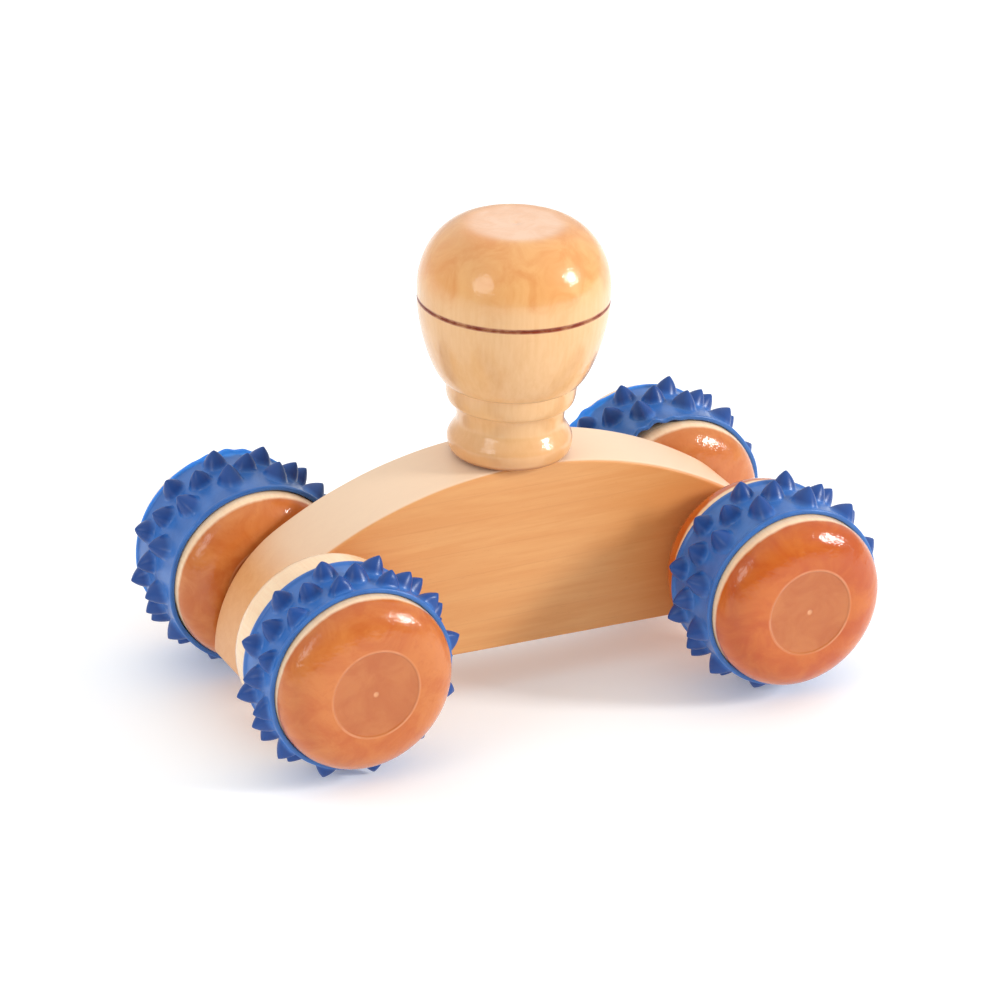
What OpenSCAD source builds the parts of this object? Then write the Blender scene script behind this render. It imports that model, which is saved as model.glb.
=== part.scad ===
// Foot massage roller.
// An arched wooden body carries a turned knob on top and two wooden axles that turn in
// cross bores. Each axle has a turned wooden wheel glued on either end, and each wheel
// wears a stretched rubber band covered in spikes.
// +X runs along the body, +Y across it and +Z up. The origin is on the floor, below the
// middle of the body. Front is the -Y side and left is the -X end.

/* [Running gear] */
// Distance between the two axles
wheelbase = 104.5; // [90:0.5:112]
// Distance between the middle planes of the two wheels on one axle
track = 57.2; // [56.4:0.1:62]
// Roll of the left pair of wheels from the position with a spike straight down, in degrees
left_roll = -4.5; // [-7:0.5:7]
// Roll of the right pair of wheels, in degrees
right_roll = 2; // [-7:0.5:7]

/* [Axles] */
// Diameter of an axle dowel
axle_d = 8; // [5:0.5:10]
// Length of an axle dowel
axle_length = 60; // [50:0.5:64]
// Gap all round an axle in its bore through the body
axle_clearance = 0.1; // [0.02:0.01:0.1]

/* [Body] */
// Length of the body over its rounded ends
body_length = 132.4; // [124:0.2:140]
// Thickness of the body, across the axles
body_thickness = 20.4; // [18:0.1:20.6]
// Depth of the flat underside below the axle line
body_below_axle = 14; // [10:0.5:17]
// Height of the crown of the arch above the axle line
crown_above_axle = 29.4; // [26:0.1:34]
// Radius of the arched top
arch_radius = 97; // [90:0.5:110]
// Radius of each rounded end
end_radius = 31; // [28:0.5:34]
// Radius of the lower corners
corner_radius = 2.5; // [1:0.1:4]

/* [Knob] */
// Height of the knob above the crown
knob_height = 53.3; // [48:0.1:58]
// Largest diameter of the knob
knob_d = 42.4; // [38:0.1:46]
// Diameter of the flat on top of the knob
knob_flat_d = 20.8; // [16:0.1:24]
// Height of the widest part, where the cap starts to curve in
knob_widest = 39.2; // [38:0.1:42]
// Height of the fine line turned round the knob
knob_line = 36.1; // [35:0.1:37]
// Height of the foot of the bowl, where it meets the collar
bowl_foot = 16.9; // [16:0.1:19]
// Diameter of the collar under the bowl
collar_d = 29; // [27:0.1:31]
// Height of the lower edge of the collar
collar_foot = 12; // [11:0.1:14]
// Height of the neck
neck = 8; // [7:0.1:9]
// Diameter of the neck
neck_d = 23.8; // [22:0.1:25]
// Height of the widest part of the foot ring
foot_ring = 3.2; // [2.5:0.1:4]
// Diameter of the foot ring
foot_ring_d = 27.8; // [26:0.1:30]
// Diameter of the dowel that joins the knob to the body
dowel_d = 10; // [6:0.5:12]
// Length of the dowel, half in each piece
dowel_length = 30; // [20:1:34]

/* [Wheels] */
// Diameter of a wooden wheel
wheel_d = 40; // [36:0.5:42]
// Thickness of a wheel over its two flats
wheel_thickness = 35; // [32:0.5:36]
// Width of the straight rim between the two domed sides
rim_width = 21.6; // [21:0.1:24]
// Diameter of the flat in the middle of each domed side
wheel_flat_d = 20.2; // [16:0.1:24]
// Depth of the blind hole that an axle is glued into
axle_hole_depth = 20; // [19:0.5:24]

/* [Spiked bands] */
// Width of a rubber band over its beaded edges
band_width = 15.4; // [14.6:0.1:15.6]
// Thickness of the rubber between the spikes
band_thickness = 0.75; // [0.5:0.05:1.2]
// Thickness of the bead along each edge
bead_thickness = 1.3; // [1.2:0.05:1.8]
// Number of spikes in each of the three rows
spikes_per_row = 12; // [10:1:12]
// Distance between neighbouring rows
row_spacing = 4.3; // [4:0.1:4.6]
// Height of a spike above the rubber
spike_height = 3.85; // [3:0.05:5]
// Diameter of a spike at its base
spike_d = 5.2; // [4.4:0.1:6.4]
// Diameter of a spike's blunt tip
spike_tip_d = 1; // [0.6:0.1:1.6]
// How far the front left band has slipped outwards on its wheel
front_left_shift = 2.6; // [-2.6:0.1:2.8]
// How far the front right band has slipped outwards
front_right_shift = 0; // [-2.6:0.1:2.8]
// How far the rear left band has slipped outwards
rear_left_shift = 1.8; // [-2.6:0.1:2.8]
// How far the rear right band has slipped outwards
rear_right_shift = 1.8; // [-2.6:0.1:2.8]

/* [Hidden] */
$fn = 96;
curve_steps = 12;       // straight stretches that stand for one curve of a turned profile
front = -1;
rear = 1;
left = -1;
right = 1;
line_depth = 0.35;      // depth and half height of the line turned round the knob
base_round = 1.7;       // how far the knob's foot ring is rounded in underneath
collar_lip = 1.3;       // how far the collar stands out past the top of the neck
lip_fullness = 0.8;     // fullness of the collar's curve, as in quarter() below
bowl_fullness = 1.3;    // fullness of the bowl's curve
cap_fullness = 1.07;    // fullness of the cap's curve
cut_slack = 0.5;        // how far a cutting shape runs past the face it cuts
wheel_r = wheel_d / 2;
band_r = wheel_r + band_thickness;
tip_r = band_r + spike_height;
spike_sink = 0.5;       // how far a spike's root is buried in the rubber
row_step = 360 / spikes_per_row;

// Height of the axle when the lowest spike tip of a rolled wheel just meets the floor
function tip_reach(roll) = tip_r * cos(roll) + spike_tip_d / 2 * sin(abs(roll));
axle_z = max(tip_reach(left_roll), tip_reach(right_roll));
crown_z = axle_z + crown_above_axle;

// Point on a quarter of an ellipse with corner at [0, 0], from [w, 0] at t = 0 to [0, h] at
// t = 1. A fullness above 1 bulges less and below 1 bulges more than the true ellipse.
function quarter(w, h, t, fullness = 1) =
    [w * pow(cos(90 * t), fullness), h * pow(sin(90 * t), fullness)];

// Smooth S-shaped step from 0 at t = 0 to 1 at t = 1
function ease(t) = (1 - cos(180 * t)) / 2;

// ---- Body ----

// Outline of the body in X and Z with the axle line at Z = 0: an arch that runs into two
// rounded ends, cut off flat underneath with small rounded corners
module body_outline() {
    arch_z = crown_above_axle - arch_radius;
    end_x = body_length / 2 - end_radius;
    blend_sin = end_x / (arch_radius - end_radius);
    blend_x = arch_radius * blend_sin;
    end_z = arch_z + (arch_radius - end_radius) * sqrt(1 - blend_sin * blend_sin);
    shoulder_z = corner_radius - body_below_axle;
    corner_x = end_x + sqrt(pow(end_radius, 2) - pow(shoulder_z - end_z, 2)) - corner_radius;
    intersection() {
        union() {
            intersection() {
                translate([0, arch_z]) circle(r = arch_radius, $fn = 360);
                translate([-blend_x, shoulder_z])
                    square([2 * blend_x, crown_above_axle + body_below_axle]);
            }
            for (s = [left, right])
                translate([s * end_x, end_z]) circle(r = end_radius, $fn = 180);
        }
        translate([-body_length, shoulder_z])
            square([2 * body_length, crown_above_axle + body_below_axle]);
    }
    translate([-corner_x, -body_below_axle]) square([2 * corner_x, corner_radius]);
    for (s = [left, right])
        translate([s * corner_x, shoulder_z]) circle(r = corner_radius);
}

module body_block() {
    color("burlywood")
        difference() {
            translate([0, body_thickness / 2, axle_z])
                rotate([90, 0, 0])
                    linear_extrude(height = body_thickness) body_outline();
            for (s = [left, right])
                translate([s * wheelbase / 2, 0, axle_z])
                    rotate([90, 0, 0])
                        cylinder(
                            h = body_thickness + 2 * cut_slack,
                            r = axle_d / 2 + axle_clearance,
                            center = true
                        );
            translate([0, 0, crown_z - dowel_length / 2])
                cylinder(h = dowel_length, d = dowel_d);
        }
}

// ---- Knob ----

// Half outline of the knob, from the middle of its base out and up to the middle of its top
function knob_profile() = let (
    r = knob_d / 2,
    foot_r = foot_ring_d / 2,
    neck_r = neck_d / 2,
    collar_r = collar_d / 2,
    steps = [for (i = [0:curve_steps]) i / curve_steps]
) concat(
    [[0, 0]],
    [for (t = steps) let (q = quarter(base_round, foot_ring, 1 - t))
        [foot_r - base_round + q[0], foot_ring - q[1]]],
    [for (t = steps) [foot_r + (neck_r - foot_r) * ease(t), foot_ring + (neck - foot_ring) * t]],
    [for (t = steps) let (q = quarter(collar_r - collar_lip - neck_r, collar_foot - neck, t))
        [collar_r - collar_lip - q[0], neck + q[1]]],
    [for (t = steps) let (q = quarter(collar_lip, bowl_foot - collar_foot, 1 - t, lip_fullness))
        [collar_r - collar_lip + q[0], bowl_foot - q[1]]],
    [for (t = steps) let (q = quarter(r - collar_r, knob_line - bowl_foot, 1 - t, bowl_fullness))
        [collar_r + q[0], knob_line - q[1]]],
    [[r - line_depth, knob_line], [r, knob_line + line_depth]],
    [for (t = steps) let (
            q = quarter(r - knob_flat_d / 2, knob_height - knob_widest, t, cap_fullness)
        ) [knob_flat_d / 2 + q[0], knob_widest + q[1]]],
    [[0, knob_height]]
);

module knob() {
    color("navajowhite")
        translate([0, 0, crown_z])
            difference() {
                rotate_extrude() polygon(knob_profile());
                translate([0, 0, -cut_slack])
                    cylinder(h = dowel_length / 2 + cut_slack, d = dowel_d);
            }
}

module knob_dowel() {
    color("wheat")
        translate([0, 0, crown_z - dowel_length / 2])
            cylinder(h = dowel_length, d = dowel_d);
}

// ---- Axles and wheels ----

module axle(end) {
    color("wheat")
        translate([end * wheelbase / 2, 0, axle_z])
            rotate([90, 0, 0]) cylinder(h = axle_length, d = axle_d, center = true);
}

// Puts a wheel's own frame, with its axis along Z and its outer side up, at its corner
module at_corner(end, side)
    translate([end * wheelbase / 2, side * track / 2, axle_z])
        rotate([-90 * side, 0, 0]) children();

// Half outline of a wheel: a straight rim with a dome each side, cut off at a flat
function wheel_profile() = let (
    flat_r = wheel_flat_d / 2,
    half_rim = rim_width / 2,
    half = wheel_thickness / 2,
    dome = [for (i = [0:curve_steps]) let (
            q = quarter(wheel_r - flat_r, half - half_rim, i / curve_steps)
        ) [flat_r + q[0], half_rim + q[1]]],
    other_dome = [for (i = [curve_steps:-1:0]) [dome[i][0], -dome[i][1]]]
) concat([[0, -half]], other_dome, dome, [[0, half]]);

module wheel(end, side) {
    color("sandybrown")
        at_corner(end, side)
            difference() {
                rotate_extrude() polygon(wheel_profile());
                translate([0, 0, -wheel_thickness / 2 - cut_slack])
                    cylinder(h = axle_hole_depth + cut_slack, d = axle_d);
            }
}

// ---- Spiked bands ----

// One spike with its root at the origin, pointing along +X
module spike() {
    root_r = spike_d / 2;
    rise = spike_height + spike_sink;
    rotate([0, 90, 0]) cylinder(h = rise, r1 = root_r, r2 = spike_tip_d / 2);
}

// Cross-section of the rubber, standing on the rim of the wheel
module band_section() {
    bead_r = bead_thickness / 2;
    bead_z = band_width / 2 - bead_r;
    translate([wheel_r, -bead_z]) square([band_thickness, 2 * bead_z]);
    for (s = [-1, 1])
        translate([wheel_r + bead_r, s * bead_z]) circle(r = bead_r);
}

// A band whose roll is the angle from the position with a middle spike straight down
module band(end, side, roll, shift) {
    color("royalblue")
        at_corner(end, side)
            translate([0, 0, shift])
                rotate([0, 0, -side * roll + 90]) {
                    rotate_extrude() band_section();
                    for (row = [-1, 0, 1], i = [0:spikes_per_row - 1])
                        rotate([0, 0, (i + abs(row) / 2) * row_step])
                            translate([band_r - spike_sink, 0, row * row_spacing]) spike();
                }
}

body_block();
knob();
knob_dowel();
axle(left);  // left_axle
axle(right);  // right_axle
wheel(left, front);  // front_left_wheel
wheel(right, front);  // front_right_wheel
wheel(left, rear);  // rear_left_wheel
wheel(right, rear);  // rear_right_wheel
band(left, front, left_roll, front_left_shift);  // front_left_band
band(right, front, right_roll, front_right_shift);  // front_right_band
band(left, rear, left_roll, rear_left_shift);  // rear_left_band
band(right, rear, right_roll, rear_right_shift);  // rear_right_band
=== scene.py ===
import math
import random

import bmesh
import bpy
import numpy as np
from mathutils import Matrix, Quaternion, Vector
from mathutils.geometry import tessellate_polygon
from mathutils.noise import noise


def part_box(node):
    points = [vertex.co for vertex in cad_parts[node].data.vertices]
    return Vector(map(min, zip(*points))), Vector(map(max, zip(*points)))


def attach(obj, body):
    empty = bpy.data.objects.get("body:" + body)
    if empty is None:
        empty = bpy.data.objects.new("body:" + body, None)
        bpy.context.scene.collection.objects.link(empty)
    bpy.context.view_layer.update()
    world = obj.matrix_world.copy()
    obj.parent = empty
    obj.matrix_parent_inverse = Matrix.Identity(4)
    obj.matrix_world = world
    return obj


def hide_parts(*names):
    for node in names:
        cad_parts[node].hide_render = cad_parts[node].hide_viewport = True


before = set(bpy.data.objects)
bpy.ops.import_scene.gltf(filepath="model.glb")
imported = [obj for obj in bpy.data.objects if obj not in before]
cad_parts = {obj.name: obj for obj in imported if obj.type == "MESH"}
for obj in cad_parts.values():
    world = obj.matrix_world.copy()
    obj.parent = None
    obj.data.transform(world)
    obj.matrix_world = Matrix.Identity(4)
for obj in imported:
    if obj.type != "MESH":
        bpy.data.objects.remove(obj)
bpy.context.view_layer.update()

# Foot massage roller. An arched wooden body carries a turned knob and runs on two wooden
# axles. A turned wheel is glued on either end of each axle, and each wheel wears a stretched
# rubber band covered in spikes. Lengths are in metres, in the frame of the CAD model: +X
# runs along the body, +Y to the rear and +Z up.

MM = 0.001

# ---- Measures that the boxes of the CAD nodes don't give ----

# Body
ARCH_RADIUS = 97 * MM
END_RADIUS = 31 * MM
CORNER_RADIUS = 2.5 * MM
EDGE_RADIUS = 0.75 * MM  # the sanded edges along the arch and underneath
EDGE_WEAR = 0.35  # how much the sanding varies along an edge, as a share of its radius
EDGE_WEAR_LENGTH = 9 * MM
BORE_CLEARANCE = 0.1 * MM
BORE_CHAMFER = 0.4 * MM
BORE_SEGMENTS = 64
OUTLINE_STEP = 0.7 * MM

# Knob, as heights above its base and diameters
DOWEL_HOLE_DEPTH = 15 * MM
KNOB_FLAT_D = 20.8 * MM
KNOB_WIDEST = 39.2 * MM
KNOB_LINE = 36.1 * MM
BOWL_FOOT = 16.9 * MM
COLLAR_D = 29 * MM
COLLAR_FOOT = 12 * MM
COLLAR_LIP = 1.3 * MM
NECK = 8 * MM
NECK_D = 23.8 * MM
FOOT_RING = 3.2 * MM
FOOT_RING_D = 27.8 * MM
BASE_ROUND = 1.7 * MM
LINE_DEPTH = 0.35 * MM
# How square each curve of the profile is, as quarter() takes it
COLLAR_FULLNESS, BOWL_FULLNESS, CAP_FULLNESS = 0.8, 1.3, 1.07
KNOB_SEGMENTS = 224

# Wheels, with offsets measured outwards from the middle plane
RIM_WIDTH = 21.6 * MM
WHEEL_FLAT_D = 20.2 * MM
AXLE_HOLE_DEPTH = 20 * MM
# Where the dark end grain starts on a wheel's outward and inward side, and how much
# later it does so at the top of the wheel and sooner underneath, in mm. That shift is painted
# light: the pale side grain reaches further where the top of the shoulder is lit, and less far
# underneath, in shade. The early start on the front right wheel's inward side is partly painted
# shade beside the body.
END_GRAIN = {
    "front_left": (10.9, 12.9, 1.4),
    "front_right": (10.9, 9.4, 1.4),
    "rear_left": (12.6, 12.2, 1.1),
    "rear_right": (12.6, 12.6, 0.7),
}
# How deep the colour of each wheel's end grain is, from 0 for the palest to 1
WHEEL_TONES = {"front_left": 0.55, "front_right": 1.0, "rear_left": 0.3, "rear_right": 0.1}
DOME_FULLNESS = 0.94  # as quarter() takes it
DISC_INSET = 0.6 * MM  # from the edge of the flat to the turned disc in it
DISC_SUNK = 0.16 * MM
WHEEL_SEGMENTS = 192

# Bands
BAND_THICKNESS = 0.75 * MM
BAND_GAP = 0.02 * MM  # keeps the underside of a band off the wood
SPIKES_PER_ROW = 12
ROW_SPACING = 4.3 * MM
SPIKE_D = 5.3 * MM
SPIKE_LEAN_ROUND, SPIKE_LEAN_ACROSS = 0.5 * MM, 0.4 * MM  # of a tip, at most
SHORTEST_SPIKE = 0.94  # as a share of the tallest
BEAD_RADIUS = 0.68 * MM  # across the band
BEAD_FLATNESS = 0.85  # height of a bead as a share of its width
BEAD_FULLNESS = 0.6  # as quarter() takes it
FIRST_BAND_SEED = 11


# ---- Mesh helpers ----


def new_mesh(name, points, faces, smooth_angle=32):
    """A new object from points and faces, smooth except across edges sharper than the angle."""
    mesh = bpy.data.meshes.new(name)
    mesh.from_pydata([tuple(p) for p in points], [], faces)
    mesh.validate()
    made = bmesh.new()
    made.from_mesh(mesh)
    bmesh.ops.recalc_face_normals(made, faces=made.faces)
    made.to_mesh(mesh)
    made.free()
    mesh.shade_smooth()
    mesh.set_sharp_from_angle(angle=math.radians(smooth_angle))
    piece = bpy.data.objects.new(name, mesh)
    bpy.context.scene.collection.objects.link(piece)
    return piece


def store(piece, name, values):
    """Keeps one number for each point of a piece, for its material to read."""
    layer = piece.data.attributes.new(name, "FLOAT", "POINT")
    layer.data.foreach_set("value", np.asarray(values, np.float32))


def stored_values(piece, name):
    values = np.empty(len(piece.data.vertices), np.float32)
    piece.data.attributes[name].data.foreach_get("value", values)
    return values


def quarter(width, height, t, fullness=1.0):
    """Point on a quarter of an oval from (width, 0) at t = 0 to (0, height) at t = 1. It is an
    ellipse at fullness 1, squarer below that and leaner above it."""
    angle = math.radians(90 * t)
    across = max(0.0, math.cos(angle)) ** fullness
    return width * across, height * math.sin(angle) ** fullness


def steps(count):
    return [i / count for i in range(count + 1)]


def turned(name, profile, origin, along, segments):
    """A turned piece. The profile runs from axis to axis as (radius, distance along)."""
    axis = Vector(along)
    side = Vector((1, 0, 0))
    third = axis.cross(side)
    points, faces, rings, measures = [], [], [], []
    for radius, distance in profile:
        on_axis = radius < 1e-9
        ring = []
        for k in range(1 if on_axis else segments):
            angle = 2 * math.pi * k / segments
            spoke = side * math.cos(angle) + third * math.sin(angle)
            ring.append(len(points))
            points.append(origin + axis * distance + spoke * radius)
            measures.append((radius, distance))
        rings.append(ring)
    for low, high in zip(rings, rings[1:]):
        for k in range(segments):
            following = (k + 1) % segments
            corners = [
                low[k % len(low)],
                low[following % len(low)],
                high[following % len(high)],
                high[k % len(high)],
            ]
            face = list(dict.fromkeys(corners))
            if len(face) > 2:
                faces.append(face)
    piece = new_mesh(name, points, faces)
    store(piece, "out", [m[0] / MM for m in measures])
    store(piece, "along", [m[1] / MM for m in measures])
    return piece


# ---- Material helpers ----


class Shader:
    """A material with one Principled shader, and short ways to add nodes to it."""

    def __init__(self, name):
        self.material = bpy.data.materials.new(name)
        self.material.use_nodes = True
        self.tree = self.material.node_tree
        self.tree.nodes.clear()
        self.surface = self.tree.nodes.new("ShaderNodeBsdfPrincipled")
        output = self.tree.nodes.new("ShaderNodeOutputMaterial")
        self.tree.links.new(self.surface.outputs[0], output.inputs[0])

    def put(self, socket, value):
        if isinstance(value, bpy.types.NodeSocket):
            self.tree.links.new(value, socket)
        else:
            socket.default_value = value

    def set(self, **values):
        """Sets sockets of the Principled shader, with _ for a space in a name."""
        for name, value in values.items():
            self.put(self.surface.inputs[name.replace("_", " ")], value)

    def node(self, kind, values, output=0, **settings):
        made = self.tree.nodes.new("ShaderNode" + kind)
        for name, value in settings.items():
            setattr(made, name, value)
        for socket, value in values.items():
            self.put(made.inputs[socket], value)
        return made.outputs[output]

    def place(self, scale=(1, 1, 1), turn=(0, 0, 0)):
        """Millimetre coordinates in the piece's own frame, turned and then scaled."""
        spot = self.node("TexCoord", {}, output="Object")
        turned_spot = self.node(
            "VectorRotate",
            {"Vector": spot, "Rotation": [math.radians(a) for a in turn]},
            rotation_type="EULER_XYZ",
        )
        size = [s / MM for s in scale]
        return self.node("VectorMath", {0: turned_spot, 1: size}, operation="MULTIPLY")

    def noise(self, spot, scale, detail=3.0, roughness=0.55, distortion=0.0):
        values = {
            "Vector": spot,
            "Scale": scale,
            "Detail": detail,
            "Roughness": roughness,
            "Distortion": distortion,
        }
        return self.node("TexNoise", values)

    def stored(self, name):
        return self.node("Attribute", {}, output="Fac", attribute_name=name)

    def maths(self, operation, a, b=0.0):
        return self.node("Math", {0: a, 1: b}, operation=operation)

    def step(self, value, low, high, to_low=0.0, to_high=1.0):
        """Smooth change from one number to another as value goes from low to high."""
        values = {0: value, 1: low, 2: high, 3: to_low, 4: to_high}
        return self.node("MapRange", values, interpolation_type="SMOOTHSTEP")

    def mix(self, factor, a, b):
        """Colour a where the factor is 0, b where it is 1, and a blend of them between."""
        return self.node("Mix", {0: factor, 6: a, 7: b}, output=2, data_type="RGBA")

    def bump(self, height, strength, distance):
        values = {"Height": height, "Strength": strength, "Distance": distance}
        return self.node("Bump", values)


def rgb(red, green, blue):
    """A colour from 0 to 255 in sRGB, as the linear colour that a shader takes."""
    linear = []
    for part in (red, green, blue):
        value = part / 255
        low = value <= 0.04045
        linear.append(value / 12.92 if low else ((value + 0.055) / 1.055) ** 2.4)
    return (*linear, 1.0)


# ---- Materials ----


def body_material():
    shader = Shader("body_wood")
    slant = (0, 1, 0)  # the grain runs one degree off the length of the body
    broad = shader.noise(shader.place((0.035, 0.5, 0.5), slant), 0.9, 4, 0.6, 0.6)
    fine = shader.noise(shader.place((0.05, 1, 1), slant), 3.2, 4, 0.7)
    pores = shader.noise(shader.place((0.16, 1, 1), slant), 2.4, 2, 0.8)
    rings = shader.node(
        "TexWave",
        {
            "Vector": shader.place((0.02, 0.3, 1), slant),
            "Scale": 0.052,
            "Distortion": 5.0,
            "Detail": 3.0,
            "Detail Scale": 0.6,
            "Detail Roughness": 0.6,
        },
        output="Fac",
        bands_direction="Z",
        wave_profile="SAW",
    )
    colour = shader.mix(shader.step(broad, 0.3, 0.7), rgb(223, 155, 93), rgb(229, 166, 105))
    colour = shader.mix(shader.step(fine, 0.35, 0.75, 0, 0.2), colour, rgb(212, 142, 80))
    facing = shader.node("TexCoord", {}, output="Normal")
    on_end = shader.maths("ABSOLUTE", shader.node("SeparateXYZ", {0: facing}, output=0))
    upward = shader.node("SeparateXYZ", {0: facing}, output=2)
    to_right = shader.node("SeparateXYZ", {0: shader.place()}, output=0)
    lines = shader.maths(
        "MULTIPLY", shader.step(rings, 0.93, 1.0, 0, 0.14), shader.step(on_end, 0.1, 0.4, 1, 0)
    )
    colour = shader.mix(lines, colour, rgb(190, 116, 62))
    colour = shader.mix(shader.step(pores, 0.64, 0.74, 0, 0.2), colour, rgb(192, 118, 60))
    # The wood is paler on the ends. It is warmer towards the right, partly its own tone and partly
    # painted warm light bounced from the right wheel, and palest on top, which is painted top
    # light and sheen.
    colour = shader.mix(shader.step(on_end, 0.75, 0.97, 0, 0.3), colour, rgb(238, 196, 158))
    colour = shader.mix(shader.step(to_right, 8, 42, 0, 0.42), colour, rgb(226, 140, 66))
    colour = shader.mix(shader.step(upward, 0.54, 1.02, 0, 0.85), colour, rgb(254, 230, 201))
    shader.set(Base_Color=colour, Roughness=shader.step(fine, 0.3, 0.7, 0.42, 0.55))
    shader.set(Coat_Weight=0.3, Coat_Roughness=0.35, Specular_IOR_Level=0.2)
    relief = shader.maths("ADD", fine, shader.maths("MULTIPLY", pores, 0.6))
    shader.set(Normal=shader.bump(relief, 0.25, 0.06 * MM))
    return shader.material


def knob_material():
    shader = Shader("knob_wood")
    along, out = shader.stored("along"), shader.stored("out")
    mottle = shader.noise(shader.place((0.12, 0.12, 0.09)), 1.2, 4, 0.6, 0.8)
    grain = shader.noise(shader.place((1, 1, 0.05)), 0.9, 4, 0.65)
    fine = shader.noise(shader.place((1, 1, 0.06)), 3.0, 3, 0.7)
    bowl = shader.mix(shader.step(grain, 0.3, 0.75), rgb(236, 187, 132), rgb(231, 179, 121))
    bowl = shader.mix(shader.step(mottle, 0.45, 0.85, 0, 0.5), bowl, rgb(222, 160, 98))
    cap = shader.mix(shader.step(mottle, 0.25, 0.75), rgb(238, 178, 112), rgb(226, 152, 84))
    # Darker towards the base: painted shade under the overhanging bowl
    bowl = shader.mix(shader.step(along, 0.5, 9, 0.8, 0), bowl, rgb(224, 162, 104))
    # Painted contact shadow: a dark reddish band along the lowest mm, where the knob sits on the
    # body
    bowl = shader.mix(shader.step(along, 0.2, 1.3, 0.7, 0), bowl, rgb(150, 78, 40))
    cap = shader.mix(shader.step(fine, 0.55, 0.8, 0, 0.15), cap, rgb(204, 128, 66))
    on_cap = shader.step(shader.maths("ADD", along, shader.maths("MULTIPLY", mottle, 3)), 40, 46)
    colour = shader.mix(on_cap, bowl, cap)
    flat = shader.step(out, 8.6, 12.4, 1, 0)
    top = shader.mix(shader.step(mottle, 0.3, 0.7), rgb(246, 200, 164), rgb(240, 186, 144))
    colour = shader.mix(shader.maths("MULTIPLY", flat, shader.step(along, 50, 52)), colour, top)
    low = KNOB_LINE / MM - LINE_DEPTH / MM
    burnt = shader.maths(
        "MULTIPLY",
        shader.step(along, low, low + 0.3),
        shader.step(along, low + 1.0, low + 1.4, 1, 0),
    )
    burnt_edge = shader.noise(shader.place((0.3, 0.3, 0.3)), 1.0, 3)
    burnt = shader.maths("MULTIPLY", burnt, shader.step(burnt_edge, 0.3, 0.6, 0.6, 1.0))
    colour = shader.mix(burnt, colour, rgb(144, 58, 28))
    shader.set(Base_Color=colour, Roughness=0.42, Specular_IOR_Level=0.2)
    lacquer = shader.noise(shader.place((1, 1, 1)), 0.4, 3, 0.65)
    shader.set(Coat_Weight=0.9, Coat_Roughness=0.12)
    shader.set(Coat_Normal=shader.bump(lacquer, 1.0, 0.12 * MM))
    shader.set(Normal=shader.bump(fine, 0.08, 0.05 * MM))
    return shader.material


def wheel_material():
    shader = Shader("wheel_wood")
    past_grain_and_painted_light, out = shader.stored("past_grain_and_painted_light"), shader.stored("out")
    mottle = shader.noise(shader.place((0.11, 0.11, 0.11)), 1.1, 4, 0.6, 0.7)
    speckle = shader.noise(shader.place((1, 0.3, 1)), 0.55, 4, 0.75)
    grain = shader.noise(shader.place((1, 0.06, 1)), 1.4, 4, 0.65)
    side = shader.mix(shader.step(grain, 0.3, 0.75), rgb(254, 222, 182), rgb(250, 210, 168))
    pale = shader.mix(shader.step(mottle, 0.3, 0.7), rgb(214, 136, 72), rgb(200, 112, 48))
    deep = shader.mix(shader.step(mottle, 0.3, 0.7), rgb(204, 106, 34), rgb(188, 80, 14))
    face = shader.mix(shader.stored("tone"), pale, deep)
    face = shader.mix(shader.step(speckle, 0.5, 0.75, 0, 0.25), face, rgb(182, 88, 32))
    disc = shader.mix(shader.step(mottle, 0.3, 0.7), rgb(195, 112, 56), rgb(184, 96, 42))
    flat_r = WHEEL_FLAT_D / 2 / MM
    face = shader.mix(shader.step(out, flat_r - 0.2, flat_r + 0.1, 1, 0), face, disc)
    # Painted highlight: a faint lighter ring at the edge of the flat, where the turned step
    # catches the light
    ring = shader.maths(
        "MULTIPLY",
        shader.step(out, flat_r - 0.35, flat_r - 0.1),
        shader.step(out, flat_r + 0.1, flat_r + 0.4, 1, 0),
    )
    faint = shader.step(mottle, 0.35, 0.65, 0.1, 0.4)
    face = shader.mix(shader.maths("MULTIPLY", ring, faint), face, rgb(242, 178, 132))
    face = shader.mix(shader.step(out, 0.3, 0.8, 0.5, 0), face, rgb(250, 190, 140))
    past = shader.maths("ADD", past_grain_and_painted_light, shader.step(mottle, 0, 1, -0.3, 0.3))
    colour = shader.mix(shader.step(past, -0.45, 0.45), side, face)
    shader.set(Base_Color=colour, Roughness=0.4, Specular_IOR_Level=0.15)
    shader.set(Normal=shader.bump(speckle, 0.08, 0.06 * MM))
    lacquer = shader.noise(shader.place((1, 1, 1)), 0.5, 3, 0.65)
    shader.set(Coat_Weight=0.9, Coat_Roughness=0.1)
    shader.set(Coat_Normal=shader.bump(lacquer, 1.0, 0.22 * MM))
    return shader.material


def dowel_material(name, along):
    shader = Shader(name)
    grain = shader.noise(shader.place(along), 1.6, 4, 0.65)
    colour = shader.mix(shader.step(grain, 0.35, 0.7), rgb(240, 205, 155), rgb(222, 172, 112))
    shader.set(Base_Color=colour, Roughness=0.55)
    shader.set(Normal=shader.bump(grain, 0.2, 0.05 * MM))
    return shader.material


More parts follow.
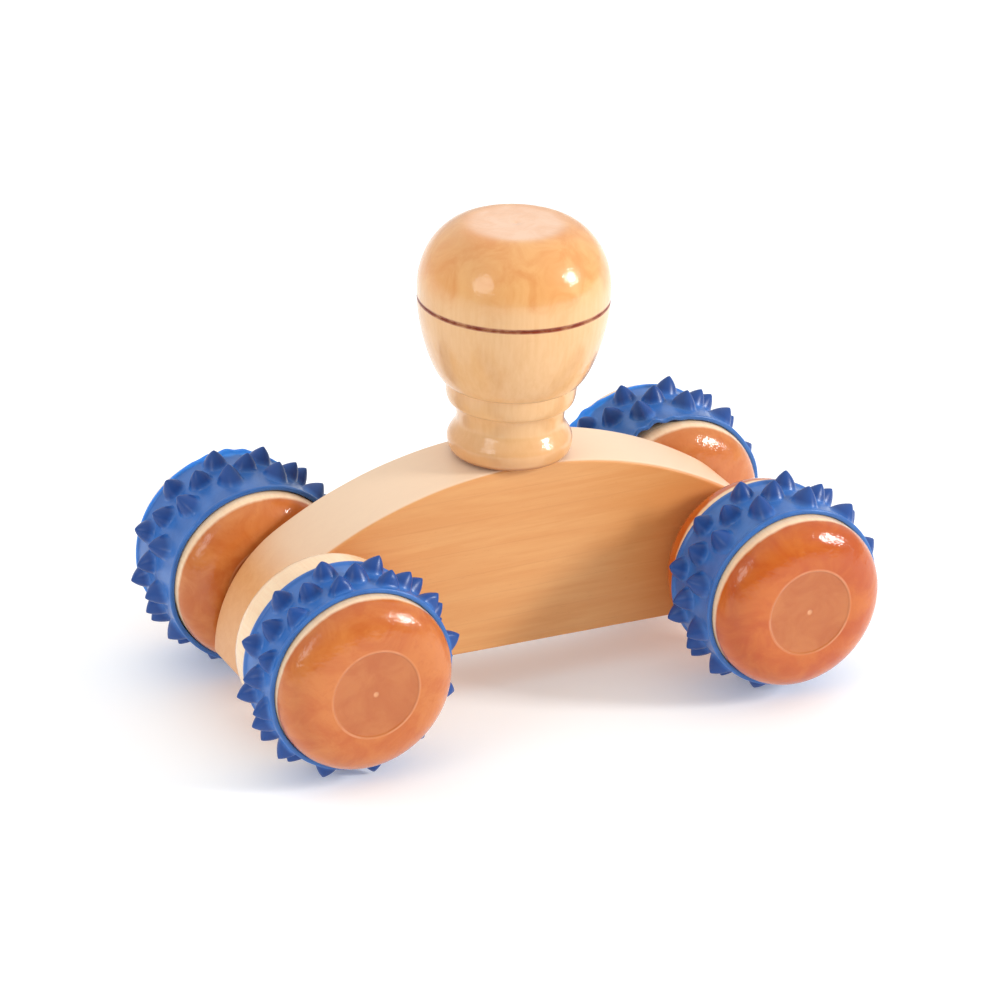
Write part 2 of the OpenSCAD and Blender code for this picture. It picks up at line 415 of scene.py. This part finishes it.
def rubber_material():
    shader = Shader("band_rubber")
    height = shader.stored("height")
    cloud = shader.noise(shader.place((0.2, 0.2, 0.2)), 0.9, 3)
    skin = shader.noise(shader.place((1, 1, 1)), 2.2, 3, 0.6)
    backlit_glow = shader.stored("backlit_glow")
    # The spikes are darker than the skin between them: painted shade on the spikes and painted
    # reflection of the bright surroundings on the skin
    colour = shader.mix(shader.step(cloud, 0.3, 0.7), rgb(41, 100, 176), rgb(52, 113, 191))
    colour = shader.mix(shader.step(height, 0.1, 1.4, 0, 0.9), colour, rgb(24, 68, 140))
    # Painted backlight: the outer edge of the rear bands is painted a lighter cyan and glows, for
    # light from behind coming through the rubber
    colour = shader.mix(shader.step(backlit_glow, 0.1, 1.0, 0, 0.9), colour, rgb(24, 126, 216))
    shader.set(Base_Color=colour, Roughness=shader.step(skin, 0.3, 0.7, 0.34, 0.42))
    shader.set(Subsurface_Weight=shader.step(backlit_glow, 0.1, 1.0, 0, 0.7))
    shader.set(Subsurface_Radius=(0.15, 0.5, 1.0), Subsurface_Scale=1.5 * MM)
    # The glow of the painted backlight
    shader.set(Emission_Color=rgb(20, 140, 230))
    shader.set(Emission_Strength=shader.step(backlit_glow, 0.4, 1.0, 0, 0.25))
    shader.set(Specular_IOR_Level=0.35)
    shader.set(Coat_Weight=shader.step(height, 0.1, 1.2, 0.35, 0.06), Coat_Roughness=0.25)
    shader.set(Normal=shader.bump(skin, 0.06, 0.08 * MM))
    return shader.material


# Painted light: the floor glows more away from the object than near it, which whitens the object's
# cast shadows there
FLOOR_GLOW = 0.2, 0.3  # near the object and away from it
FLOOR_GLOW_FROM = 62, 92  # mm from its middle, over which the one turns into the other


def floor_material():
    shader = Shader("floor_paper")
    tooth = shader.noise(shader.place((1, 1, 1)), 0.4, 3)
    colour = shader.mix(tooth, rgb(237, 239, 240), rgb(241, 243, 243))
    shader.set(Base_Color=colour, Roughness=0.9, Specular_IOR_Level=0.2)
    # Painted light that whitens the cast shadows away from the object
    away = shader.node("VectorMath", {0: shader.place()}, output="Value", operation="LENGTH")
    glow = shader.step(away, *FLOOR_GLOW_FROM, *FLOOR_GLOW)
    shader.set(Emission_Color=(1, 1, 1, 1), Emission_Strength=glow)
    return shader.material


# ---- Body ----


def arc(centre, radius, start, end, step):
    """Points along an arc in X and Z, with angles in degrees from +X towards +Z."""
    count = max(2, round(math.radians(abs(end - start)) * radius / step))
    points = []
    for t in steps(count):
        angle = math.radians(start + (end - start) * t)
        points.append((centre[0] + radius * math.cos(angle), centre[1] + radius * math.sin(angle)))
    return points


def body_outline(lo, hi):
    """The body's outline from the middle of its underside round the right end and back."""
    end_x = (hi.x - lo.x) / 2 - END_RADIUS
    arch_z = hi.z - ARCH_RADIUS
    reach = ARCH_RADIUS - END_RADIUS
    end_z = arch_z + math.sqrt(reach**2 - end_x**2)
    blend = math.degrees(math.acos(end_x / reach))
    shoulder_z = lo.z + CORNER_RADIUS
    shoulder = math.degrees(math.asin((shoulder_z - end_z) / END_RADIUS))
    corner_x = end_x + END_RADIUS * math.cos(math.radians(shoulder)) - CORNER_RADIUS
    flat = [(corner_x * t, lo.z) for t in steps(round(corner_x / OUTLINE_STEP / 2))[:-1]]
    corner = arc((corner_x, shoulder_z), CORNER_RADIUS, -90, 0, OUTLINE_STEP / 3)
    end = arc((end_x, end_z), END_RADIUS, shoulder, blend, OUTLINE_STEP)
    arch = arc((0, arch_z), ARCH_RADIUS, blend, 90, OUTLINE_STEP)
    half = flat + corner + end[1:] + arch[1:]
    return half + [(-x, z) for x, z in half[-2:0:-1]]


def outline_normals(outline):
    """The outward direction at each point of a closed outline that runs anticlockwise."""
    normals = []
    for i, _ in enumerate(outline):
        before = Vector(outline[i - 1])
        after = Vector(outline[(i + 1) % len(outline)])
        along = (after - before).normalized()
        normals.append(Vector((along.y, -along.x)))
    return normals


def body_stations(half):
    """Places across the body as (y, inset), with the edges rounded off."""
    edge = []
    for t in steps(6):
        angle = math.radians(90 * t)
        inset = EDGE_RADIUS * (1 - math.sin(angle))
        edge.append((-half + EDGE_RADIUS * (1 - math.cos(angle)), inset))
    flat = half - EDGE_RADIUS
    inner = [(-flat + 2 * flat * t, 0.0) for t in steps(12)[1:-1]]
    return edge + inner + [(-y, inset) for y, inset in reversed(edge)]


def bore_ring(centre, radius, y):
    points = []
    for k in range(BORE_SEGMENTS):
        angle = 2 * math.pi * k / BORE_SEGMENTS
        spoke = Vector((math.cos(angle), 0, math.sin(angle))) * radius
        points.append(Vector((centre.x, y, centre.z)) + spoke)
    return points


def body_piece():
    lo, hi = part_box("body_block")
    axles = [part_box("left_axle"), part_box("right_axle")]
    half = (hi.y - lo.y) / 2
    outline = body_outline(lo, hi)
    normals = outline_normals(outline)
    points, faces, loops = [], [], []
    for y, inset in body_stations(half):
        loops.append(range(len(points), len(points) + len(outline)))
        for (x, z), normal in zip(outline, normals):
            wear = 1 + EDGE_WEAR * noise(Vector((x, y, z)) / EDGE_WEAR_LENGTH)
            points.append(Vector((x - normal.x * inset * wear, y, z - normal.y * inset * wear)))
    for near, far in zip(loops, loops[1:]):
        for i, _ in enumerate(outline):
            j = (i + 1) % len(outline)
            faces.append([near[i], near[j], far[j], far[i]])
    bores = [((a[0] + a[1]) / 2, (a[1].z - a[0].z) / 2 + BORE_CLEARANCE) for a in axles]
    mouths = {-1: [], 1: []}
    for side, loop in ((-1, loops[0]), (1, loops[-1])):
        rings = []
        for centre, radius in bores:
            start = len(points)
            points.extend(bore_ring(centre, radius + BORE_CHAMFER, side * half))
            rings.append(list(range(start, len(points))))
            mouths[side].append(rings[-1])
        indices = list(loop) + [i for ring in rings for i in ring]
        outlines = [[points[i] for i in loop]] + [[points[i] for i in ring] for ring in rings]
        for triangle in tessellate_polygon(outlines):
            faces.append([indices[i] for i in triangle])
    for k, (centre, radius) in enumerate(bores):
        chain = [mouths[-1][k]]
        for y in (-half + BORE_CHAMFER, half - BORE_CHAMFER):
            start = len(points)
            points.extend(bore_ring(centre, radius, y))
            chain.append(list(range(start, len(points))))
        chain.append(mouths[1][k])
        for low, high in zip(chain, chain[1:]):
            for i, _ in enumerate(low):
                j = (i + 1) % len(low)
                faces.append([low[i], low[j], high[j], high[i]])
    piece = new_mesh("body", points, faces)
    for face in piece.data.polygons:
        if len(face.vertices) == 3:
            face.use_smooth = False
    piece.data.materials.append(body_material())
    return piece


# ---- Knob ----


def ease(t):
    return (1 - math.cos(math.pi * t)) / 2


def knob_profile(radius, height, dowel_r):
    foot_r, neck_r, collar_r = FOOT_RING_D / 2, NECK_D / 2, COLLAR_D / 2
    base = [(0, DOWEL_HOLE_DEPTH), (dowel_r, DOWEL_HOLE_DEPTH), (dowel_r, 0)]
    foot, hollow, cove, collar, bowl, cap = [], [], [], [], [], []
    for t in steps(16):
        w, h = quarter(BASE_ROUND, FOOT_RING, 1 - t)
        foot.append((foot_r - BASE_ROUND + w, FOOT_RING - h))
        hollow.append((foot_r + (neck_r - foot_r) * ease(t), FOOT_RING + (NECK - FOOT_RING) * t))
        w, h = quarter(collar_r - COLLAR_LIP - neck_r, COLLAR_FOOT - NECK, t)
        cove.append((collar_r - COLLAR_LIP - w, NECK + h))
        w, h = quarter(COLLAR_LIP, BOWL_FOOT - COLLAR_FOOT, 1 - t, COLLAR_FULLNESS)
        collar.append((collar_r - COLLAR_LIP + w, BOWL_FOOT - h))
    for t in steps(40):
        w, h = quarter(radius - collar_r, KNOB_LINE - BOWL_FOOT, 1 - t, BOWL_FULLNESS)
        bowl.append((collar_r + w, KNOB_LINE - h))
        w, h = quarter(radius - KNOB_FLAT_D / 2, height - KNOB_WIDEST, t, CAP_FULLNESS)
        cap.append((KNOB_FLAT_D / 2 + w, KNOB_WIDEST + h))
    groove = [
        (radius - 0.03 * MM, KNOB_LINE + 0.02 * MM),
        (radius - LINE_DEPTH, KNOB_LINE + LINE_DEPTH * 0.7),
        (radius - LINE_DEPTH, KNOB_LINE + LINE_DEPTH),
        (radius - 0.03 * MM, KNOB_LINE + LINE_DEPTH * 1.7),
    ]
    straight = [(radius, KNOB_LINE + LINE_DEPTH * 1.8), (radius, KNOB_WIDEST - 0.6 * MM)]
    top = [(KNOB_FLAT_D / 2 * (1 - t), height) for t in steps(10)[1:-2]]
    mark = [(0.9 * MM, height), (0.5 * MM, height - 0.1 * MM), (0, height - 0.22 * MM)]
    lower = base + foot + hollow[1:] + cove[1:] + collar + bowl[1:-1]
    return lower + groove + straight + cap + top + mark


def knob_piece():
    lo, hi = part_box("knob")
    dowel_lo, dowel_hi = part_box("knob_dowel")
    profile = knob_profile((hi.x - lo.x) / 2, hi.z - lo.z, (dowel_hi.x - dowel_lo.x) / 2)
    piece = turned("knob_turning", profile, Vector((0, 0, lo.z)), (0, 0, 1), KNOB_SEGMENTS)
    piece.data.materials.append(knob_material())
    return piece


# ---- Wheels ----


def wheel_profile(radius, half, hole_r):
    flat_r, half_rim = WHEEL_FLAT_D / 2, RIM_WIDTH / 2
    dome = []
    for t in steps(40):
        w, h = quarter(radius - flat_r, half - half_rim, t, DOME_FULLNESS)
        dome.append((flat_r + w, half_rim + h))
    inner_dome = [(r, -offset) for r, offset in reversed(dome)]
    hole = [
        (0, AXLE_HOLE_DEPTH - half),
        (hole_r, AXLE_HOLE_DEPTH - half),
        (hole_r, 0.4 * MM - half),
        (hole_r + 0.4 * MM, -half),
    ]
    rim = [(radius, half_rim * (2 * t - 1)) for t in steps(12)[1:-1]]
    step = [
        (flat_r - 0.06 * MM, half + 0.01 * MM),
        (flat_r - 0.2 * MM, half - 0.02 * MM),
        (flat_r - 0.35 * MM, half - 0.13 * MM),
        (flat_r - DISC_INSET, half - DISC_SUNK),
    ]
    disc_r = flat_r - DISC_INSET
    disc = [(disc_r * (1 - t), half - DISC_SUNK) for t in steps(8)[1:-1]]
    mark = [(0.7 * MM, half - DISC_SUNK), (0.35 * MM, half - 0.28 * MM), (0, half - 0.36 * MM)]
    return hole + inner_dome + rim + dome + step + disc + mark


def wheel_piece(corner, material):
    lo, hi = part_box(corner + "_wheel")
    axle_lo, axle_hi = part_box(corner.split("_")[1] + "_axle")
    centre = (lo + hi) / 2
    outward = math.copysign(1, centre.y)
    half = (hi.y - lo.y) / 2
    profile = wheel_profile((hi.x - lo.x) / 2, half, (axle_hi.x - axle_lo.x) / 2)
    piece = turned(corner + "_wheel_turning", profile, centre, (0, outward, 0), WHEEL_SEGMENTS)
    out_from, in_from, tilt = END_GRAIN[corner]
    along = stored_values(piece, "along")
    # Painted light: the pale side grain reaches further at the top of the wheel, where its
    # shoulder is lit, and less far underneath, in shade
    later = [tilt * (v.co.z - centre.z) / (hi.z - centre.z) for v in piece.data.vertices]
    store(piece, "past_grain_and_painted_light", np.maximum(along - out_from, -along - in_from) - later)
    store(piece, "tone", np.full_like(along, WHEEL_TONES[corner]))
    piece.data.materials.append(material)
    return piece


# ---- Spiked bands ----

# How each band sits: the roll of its spikes from straight down in degrees, how far they have
# crept outwards since the band was fitted, and for either edge its offset from the middle
# of the wheel, how far it lifts off the wood, and the height and number of the waves in it.
# Then where an edge stands up in a fold, as (edge, degrees round from +X, height, spread
# outwards), and how strongly the outer edge is painted with a glow of light from behind
BANDS = {
    "front_left": dict(
        roll=-4.0,
        creep=0.4,
        inner=(5.0, 0.1, 0.05, 3),
        outer=(10.0, 0.06, 0.04, 4),
        folds=[],
        glow=0.0,
    ),
    "front_right": dict(
        roll=2.3,
        creep=-0.6,
        inner=(8.1, 0.1, 0.05, 3),
        outer=(9.5, 0.04, 0.03, 4),
        folds=[],
        glow=0.0,
    ),
    "rear_left": dict(
        roll=-4.5,
        creep=-0.3,
        inner=(10.8, 0.15, 0.1, 5),
        outer=(10.3, 0.05, 0.05, 5),
        folds=[("outer", 88, 0.7, 0.0)],
        glow=1.0,
    ),
    "rear_right": dict(
        roll=1.8,
        creep=-0.4,
        inner=(11.2, 0.1, 0.1, 7),
        outer=(9.7, 0.0, 0.05, 4),
        folds=[("inner", 112, 1.3, 0.0), ("outer", 138, 0.9, 0.9)],
        glow=1.0,
    ),
}
TURNS_PER_STEP = 24  # points round the band between one spike and the next row's
ROWS_PER_SPACING = 18  # points across the band between one row and the next
SHORTEST_FOOT, LONGEST_FOOT = 2.4 * MM, 4.3 * MM  # of a spike, towards a near or far edge
EDGE_KEPT_FREE = 2.2 * BEAD_RADIUS  # between the foot of a spike and the edge
LOOSE_FROM = 4.0 * MM  # past this offset from the middle row an edge can lift
FOLD_SPREAD = 20  # degrees round the wheel either side of a fold
FOLD_RIPPLES = 30  # small waves round the whole band, which only show in a fold


def ease_between(values, low, high):
    t = np.clip((values - low) / (high - low), 0, 1)
    return t * t * (3 - 2 * t)


def spike_shape(distance):
    """Height of a spike, from 0 to 1, at a distance from its middle as a share of its radius."""
    blunt, foot = 0.06, 0.05
    straight, bulging = 0.72, 0.28
    from_tip = np.sqrt(distance**2 + blunt**2) - blunt
    flank = 1 - straight * from_tip - bulging * from_tip**3
    swell = (flank + np.sqrt(flank**2 + foot**2)) / 2
    return np.maximum(0, swell - foot**2 / 4 / (0.5 + distance))


def band_section(inner, outer):
    """Cross-section of the rubber from its inner edge to its outer one, which lie on either
    side of the middle row. Gives the offset, the height above the wheel, and how far a spike
    may rise there as a share of its height."""
    low, high = BEAD_RADIUS - inner, outer - BEAD_RADIUS
    spacing = ROW_SPACING / ROWS_PER_SPACING
    skin = np.arange(math.ceil(low / spacing), math.floor(high / spacing) + 1) * spacing
    inside = np.minimum(skin - low, high - skin)
    tall = BEAD_RADIUS * BEAD_FLATNESS
    rise = (2 * tall - BAND_THICKNESS) * ease_between(-inside, -0.75 * MM, -0.15 * MM)
    free = ease_between(inside, 0.2 * MM, 1.0 * MM)
    section = [(o, BAND_THICKNESS + up, share) for o, up, share in zip(skin, rise, free)]
    bead = [quarter(BEAD_RADIUS, tall, t, BEAD_FULLNESS) for t in steps(7)]
    around = [(w, tall + h) for w, h in bead[::-1]] + [(w, tall - h) for w, h in bead[1:]]
    section += [(high + w, h, 0) for w, h in around]
    section += [(o, 0.0, 0) for o in np.linspace(high, low, 14)[1:-1]]
    section += [(low - w, h, 0) for w, h in around[::-1]]
    return [np.array(column) for column in zip(*section)]


def spikes_on(grid_angle, grid_offset, free, band_r, tall, reaches, chance):
    """How far the spikes raise each point of a band, and how far they lean round and across.
    The foot of a spike runs out further towards an edge that the rubber is stretched to."""
    rise, lean_round, lean_across = (np.zeros_like(grid_angle) for _ in range(3))
    for row in (-1, 0, 1):
        past_row = grid_offset - row * ROW_SPACING
        foot = np.full_like(past_row, SPIKE_D / 2)
        if row:
            spare = reaches[row] - ROW_SPACING - EDGE_KEPT_FREE
            foot[past_row * row > 0] = min(max(spare, SHORTEST_FOOT), LONGEST_FOOT)
        for k in range(SPIKES_PER_ROW):
            at = 2 * math.pi * (k + abs(row) / 2) / SPIKES_PER_ROW
            turn = (grid_angle - at + math.pi) % (2 * math.pi) - math.pi
            apart = np.hypot(turn * band_r / (SPIKE_D / 2), past_row / foot)
            share = spike_shape(apart) * free
            lean = share**1.5
            lean_round += lean * chance.uniform(-SPIKE_LEAN_ROUND, SPIKE_LEAN_ROUND)
            lean_across += lean * chance.uniform(-SPIKE_LEAN_ACROSS, SPIKE_LEAN_ACROSS)
            rise = np.maximum(rise, share * tall * chance.uniform(SHORTEST_SPIKE, 1.0))
    return rise, lean_round, lean_across


def band_piece(corner, look, material, seed):
    chance = random.Random(seed)
    lo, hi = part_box(corner + "_band")
    wheel_lo, wheel_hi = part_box(corner + "_wheel")
    centre = (wheel_lo + wheel_hi) / 2
    outward = math.copysign(1, centre.y)
    wheel_r = (wheel_hi.x - wheel_lo.x) / 2
    band_r = wheel_r + BAND_THICKNESS
    middle = ((lo.y + hi.y) / 2 - centre.y) * outward + look["creep"] * MM
    inner, outer = look["inner"][0] * MM + middle, look["outer"][0] * MM - middle

    around = SPIKES_PER_ROW * 2 * TURNS_PER_STEP
    offset, above, free = band_section(inner, outer)
    grid_angle, grid_offset = np.meshgrid(
        np.arange(around) * 2 * math.pi / around, offset, indexing="ij"
    )
    tall = (hi.x - lo.x) / 2 - band_r
    reaches = {-1: inner, 1: outer}
    rise, lean_round, lean_across = spikes_on(
        grid_angle, grid_offset, free, band_r, tall, reaches, chance
    )
    angle = grid_angle + math.radians(-90 + look["roll"])

    lift, backlit_glow, spread = (np.zeros_like(grid_angle) for _ in range(3))
    for name, sign, reach in (("inner", -1, inner), ("outer", 1, outer)):
        _, up, wave, count = look[name]
        loose = np.clip((sign * grid_offset - LOOSE_FROM) / (reach - LOOSE_FROM), 0, 1)
        ripple = np.sin(count * grid_angle + seed) + 0.4 * np.sin((count + 4) * grid_angle)
        height = up + wave * ripple
        for edge, at, tall_fold, wide_fold in look["folds"]:
            if edge == name:
                apart = (np.degrees(angle) - at + 180) % 360 - 180
                here = np.exp(-((apart / FOLD_SPREAD) ** 2))
                height += tall_fold * here * (1 + 0.3 * np.sin(FOLD_RIPPLES * grid_angle))
                spread += sign * wide_fold * MM * here * loose
        raised = loose**2 * np.maximum(0, height)
        lift += raised * MM
        # How strongly the outer edge is painted with a glow of light from behind
        if name == "outer":
            at_rim = ease_between(grid_offset, reach - 2 * MM, reach - 0.5 * MM)
            backlit_glow = look["glow"] * np.clip(0.7 * at_rim + 3 * raised, 0, 1)

    radius = wheel_r + BAND_GAP + above[None, :] + rise + lift
    angle = angle + lean_round / band_r
    shift = grid_offset + lean_across + spread + middle
    points = np.stack(
        [
            centre.x + radius * np.cos(angle),
            centre.y + outward * shift,
            centre.z + radius * np.sin(angle),
        ],
        axis=-1,
    ).reshape(-1, 3)
    across = len(offset)
    faces = []
    for i in range(around):
        here, following = i * across, (i + 1) % around * across
        for j in range(across):
            k = (j + 1) % across
            faces.append((here + j, here + k, following + k, following + j))
    piece = new_mesh(corner + "_spiked_band", points, faces, smooth_angle=75)
    store(piece, "height", (rise / MM).ravel())
    store(piece, "backlit_glow", backlit_glow.ravel())
    piece.data.materials.append(material)
    return piece


# ---- The whole object ----


def declare(piece, body, node):
    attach(piece, body)
    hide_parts(node)


def build_object():
    declare(body_piece(), "handle", "body_block")
    declare(knob_piece(), "handle", "knob")
    wheel_wood, rubber = wheel_material(), rubber_material()
    for seed, (corner, look) in enumerate(BANDS.items(), FIRST_BAND_SEED):
        body = corner.split("_")[1] + "_wheelset"
        declare(wheel_piece(corner, wheel_wood), body, corner + "_wheel")
        band = band_piece(corner, look, rubber, seed)
        declare(band, body, corner + "_band")
    upright = dowel_material("upright_dowel_wood", (1, 1, 0.06))
    lying = dowel_material("lying_dowel_wood", (1, 0.06, 1))
    finish = {"knob_dowel": upright, "left_axle": lying, "right_axle": lying}
    for node, material in finish.items():
        for slot in bpy.data.objects[node].material_slots:
            slot.material = material


# ---- Studio ----

LOOK_AT_X = -1.9 * MM
LOOK_AT_ABOVE_AXLE = 17.1 * MM
CAMERA_AZIMUTH, CAMERA_ELEVATION, CAMERA_ROLL = -26.18, 24.473, 1.654
CAMERA_DISTANCE = 1053.9 * MM
CAMERA_LENS = 171.04


def direction(azimuth, elevation):
    """The way to a point round the object. Azimuth 0 is at -Y and 90 at +X, in degrees."""
    a, e = math.radians(azimuth), math.radians(elevation)
    return Vector((math.sin(a) * math.cos(e), -math.cos(a) * math.cos(e), math.sin(e)))


def make_camera(target):
    data = bpy.data.cameras.new("camera")
    data.sensor_width = 36
    data.lens = CAMERA_LENS
    data.clip_start, data.clip_end = 0.01, 100
    camera = bpy.data.objects.new("camera", data)
    bpy.context.scene.collection.objects.link(camera)
    back = direction(CAMERA_AZIMUTH, CAMERA_ELEVATION)
    camera.location = target + back * CAMERA_DISTANCE
    camera.rotation_mode = "QUATERNION"
    roll = Quaternion((0, 0, 1), math.radians(CAMERA_ROLL))
    camera.rotation_quaternion = (-back).to_track_quat("-Z", "Y") @ roll
    bpy.context.scene.camera = camera


# Shape, azimuth, elevation, distance, width and height, and watts
SOFTBOXES = {
    "key_softbox": ("RECTANGLE", 54, 24.5, 2.4, (0.44, 0.56), 38),
    "left_softbox": ("ELLIPSE", -66, 27, 1.6, (0.65, 0.75), 4.5),
}


def softbox(name, target, shape, azimuth, elevation, distance, size, watts):
    data = bpy.data.lights.new(name, "AREA")
    data.shape = shape
    data.size, data.size_y = size
    data.energy = watts
    light = bpy.data.objects.new(name, data)
    bpy.context.scene.collection.objects.link(light)
    back = direction(azimuth, elevation)
    light.location = target + back * distance
    light.rotation_mode = "QUATERNION"
    light.rotation_quaternion = (-back).to_track_quat("-Z", "Y")


SKY_BRIGHTEST = (0.0, 0.45, 0.9)  # above and a little behind the object
SKY_DARK, SKY_BRIGHT = 0.2, 1.0
SKY_DARKEST_AT, SKY_BRIGHTEST_AT = -0.3, 0.95  # cosines of the angle from that direction
FLOOR_REACH = 12.0


def make_sky():
    """White surroundings that are brightest overhead and behind, as in a light tent."""
    world = bpy.data.worlds.new("studio")
    bpy.context.scene.world = world
    world.use_nodes = True
    tree = world.node_tree
    spot = tree.nodes.new("ShaderNodeTexCoord")
    along = tree.nodes.new("ShaderNodeVectorMath")
    along.operation = "DOT_PRODUCT"
    along.inputs[1].default_value = Vector(SKY_BRIGHTEST).normalized()
    strength = tree.nodes.new("ShaderNodeMapRange")
    strength.interpolation_type = "SMOOTHSTEP"
    limits = (SKY_DARKEST_AT, SKY_BRIGHTEST_AT, SKY_DARK, SKY_BRIGHT)
    for socket, value in enumerate(limits, 1):
        strength.inputs[socket].default_value = value
    tree.links.new(spot.outputs["Generated"], along.inputs[0])
    tree.links.new(along.outputs["Value"], strength.inputs[0])
    tree.links.new(strength.outputs[0], tree.nodes["Background"].inputs["Strength"])
    tree.nodes["Background"].inputs["Color"].default_value = (1, 1, 1, 1)


def make_studio(target):
    mesh = bpy.data.meshes.new("floor")
    turns = ((-1, -1), (1, -1), (1, 1), (-1, 1))
    mesh.from_pydata([(FLOOR_REACH * x, FLOOR_REACH * y, 0) for x, y in turns], [], [(0, 1, 2, 3)])
    mesh.materials.append(floor_material())
    floor = bpy.data.objects.new("floor", mesh)
    bpy.context.scene.collection.objects.link(floor)

    for name, look in SOFTBOXES.items():
        softbox(name, target, *look)
    make_sky()
    bpy.context.scene.view_settings.view_transform = "Standard"


build_object()
axle_lo, axle_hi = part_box("left_axle")
aim = Vector((LOOK_AT_X, 0, (axle_lo.z + axle_hi.z) / 2 + LOOK_AT_ABOVE_AXLE))
make_camera(aim)
make_studio(aim)
